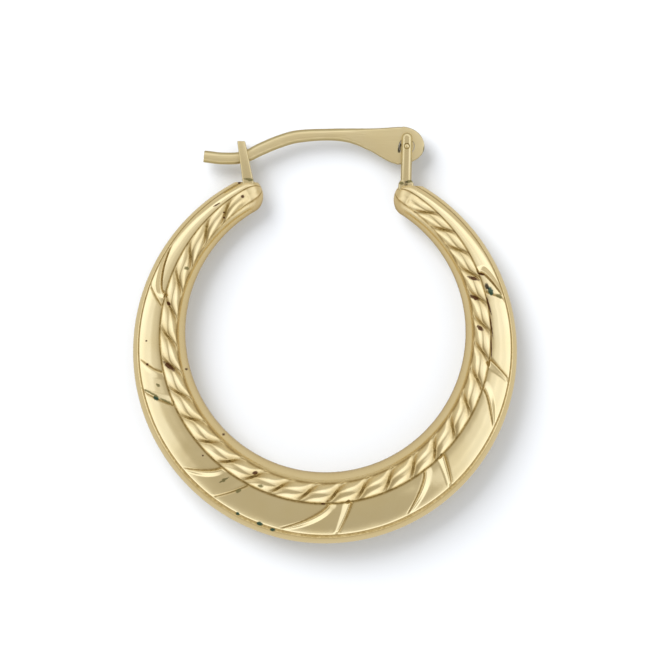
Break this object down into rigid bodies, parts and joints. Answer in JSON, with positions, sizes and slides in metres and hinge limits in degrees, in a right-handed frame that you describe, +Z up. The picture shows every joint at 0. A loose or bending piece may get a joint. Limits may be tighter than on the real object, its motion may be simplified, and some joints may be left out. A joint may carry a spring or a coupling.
{
  "type": "creole hoop earring",
  "caption": "Hollow tapered hoop earring with a rope border and leaf wraps, a hinged ear wire and a forked catch.",
  "frame": {"origin": "under the middle of the earring, on the surface that it lies on", "axes": "+Z up from that surface and out of the earring's front, +Y towards the ear wire, +X towards the hinge"},
  "size_m": [0.024, 0.0262, 0.0034],
  "materials": {
    "pressed_gold": "bright polished pale yellow gold, dull in its creases",
    "rivet_gold": "plain satin pale yellow gold",
    "drawn_gold": "polished pale yellow gold with fine draw lines"
  },
  "bodies": {
    "hoop": {"hoop": "pressed_gold", "hinge_pin": "rivet_gold"},
    "ear_wire": {"ear_wire": "drawn_gold"}
  },
  "joints": [
    {"name": "ear_wire_hinge", "type": "hinge", "parent": "hoop", "child": "ear_wire", "pos_m": [0.00483, 0.01184, 0.001], "axis": [0, -0.0318, -0.9995], "range_deg": [0, 180]}
  ]
}
